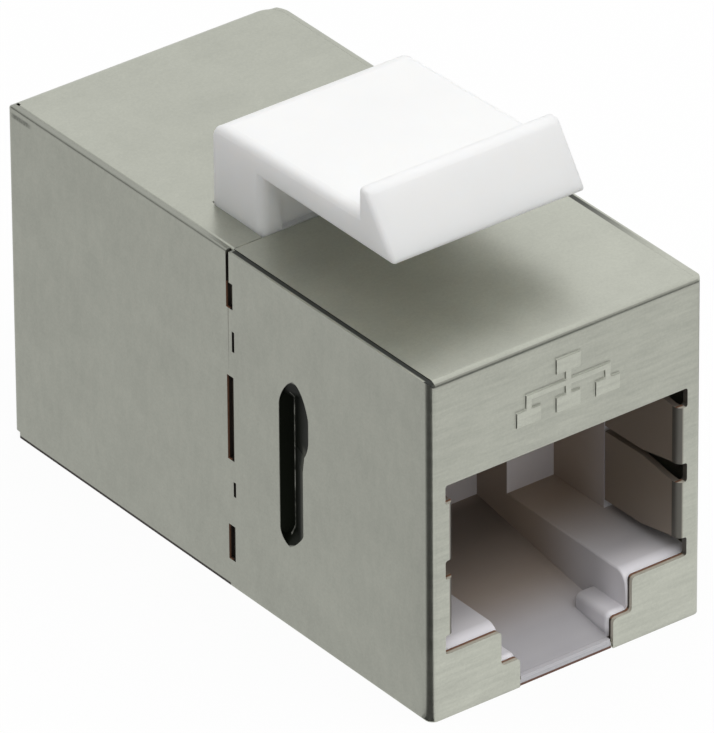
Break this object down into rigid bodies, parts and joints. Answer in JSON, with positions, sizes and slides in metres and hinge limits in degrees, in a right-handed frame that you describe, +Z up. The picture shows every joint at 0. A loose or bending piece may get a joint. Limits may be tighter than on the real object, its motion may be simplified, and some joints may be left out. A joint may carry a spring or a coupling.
{
  "type": "keystone coupler",
  "caption": "Shielded keystone coupler: folded metal box with a modular jack socket at each end and a moulded spring latch on top, for snapping into a keystone panel port.",
  "frame": {"origin": "under the middle of the coupler, on the floor flap's lower face", "axes": "+Z up towards the latch, -Y out of the front socket, +X to the right seen from the front"},
  "size_m": [0.0144, 0.0299, 0.0222],
  "materials": {
    "shell_metal": "nickel plated sheet, fine brushed grain",
    "latch_plastic": "white moulded, satin",
    "housing_plastic": "white moulded, satin",
    "carrier_plastic": "white moulded",
    "board_laminate": "green circuit laminate",
    "contact_gold": "gold plated wire"
  },
  "bodies": {
    "root": {"front_shell": "shell_metal", "rear_shell": "shell_metal", "latch_clip": "latch_plastic", "front_housing": "housing_plastic", "rear_housing": "housing_plastic", "front_contact_carrier": "carrier_plastic", "rear_contact_carrier": "carrier_plastic", "circuit_board": "board_laminate", "front_contact_1": "contact_gold", "front_contact_2": "contact_gold", "front_contact_3": "contact_gold", "front_contact_4": "contact_gold", "front_contact_5": "contact_gold", "front_contact_6": "contact_gold", "front_contact_7": "contact_gold", "front_contact_8": "contact_gold", "rear_contact_1": "contact_gold", "rear_contact_2": "contact_gold", "rear_contact_3": "contact_gold", "rear_contact_4": "contact_gold", "rear_contact_5": "contact_gold", "rear_contact_6": "contact_gold", "rear_contact_7": "contact_gold", "rear_contact_8": "contact_gold"}
  },
  "joints": []
}
